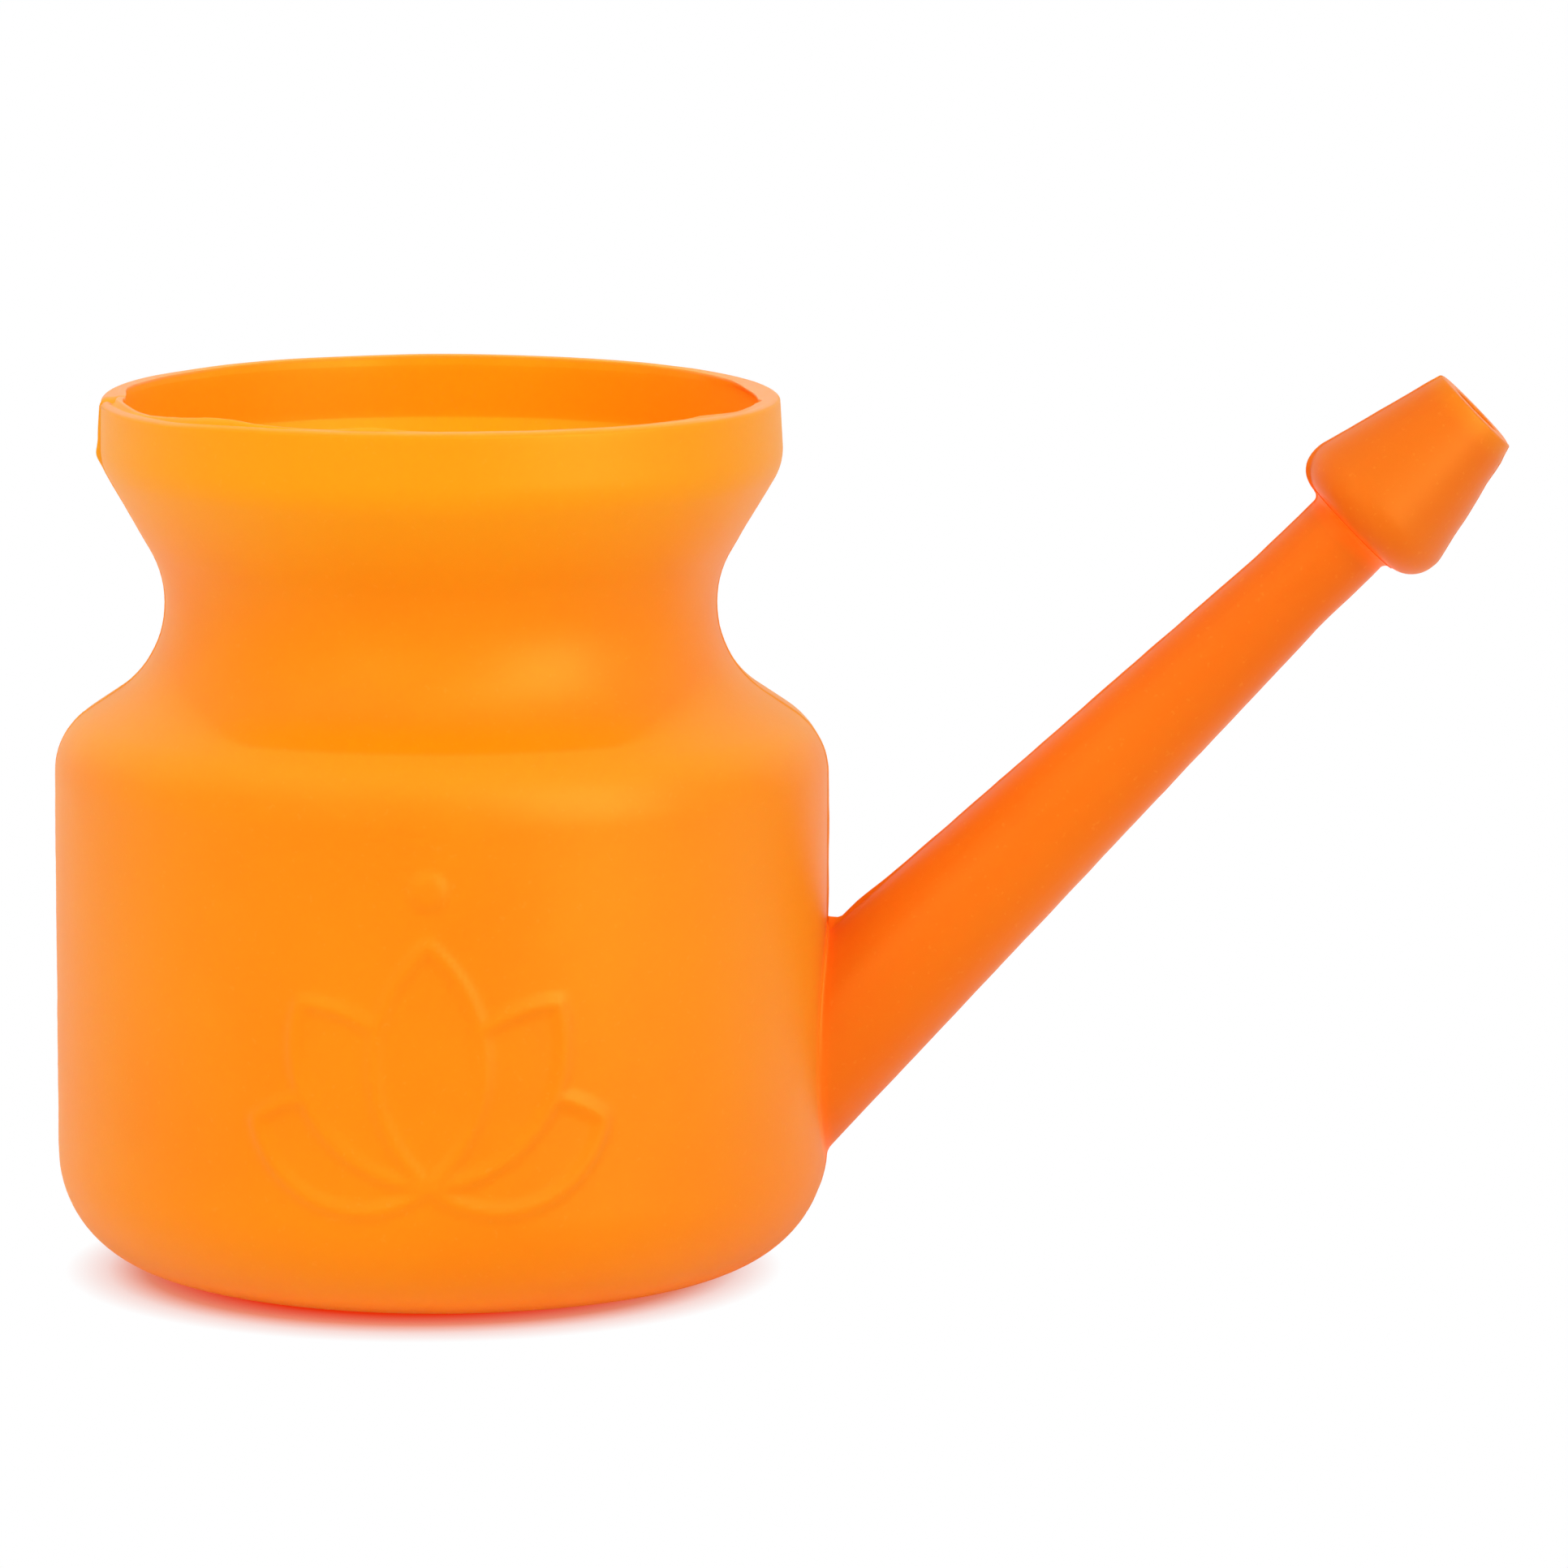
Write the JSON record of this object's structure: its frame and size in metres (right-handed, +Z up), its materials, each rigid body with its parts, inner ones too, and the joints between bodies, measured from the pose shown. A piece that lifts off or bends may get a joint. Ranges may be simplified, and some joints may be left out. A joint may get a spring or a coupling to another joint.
{
  "type": "neti pot",
  "caption": "Round-bellied nasal rinsing pot with a waisted neck, an open flared mouth and a long slanted spout that ends in a tapered nozzle, moulded in one hollow piece.",
  "frame": {"origin": "centre of the flat base, on the axis of the belly", "axes": "+Z up along the axis of the belly, +X towards the spout, the raised ornament faces -Y"},
  "size_m": [0.1694, 0.0906, 0.1043],
  "materials": {
    "soft_plastic": "satin, slightly translucent orange"
  },
  "bodies": {
    "root": {"pot": "soft_plastic"}
  },
  "joints": []
}
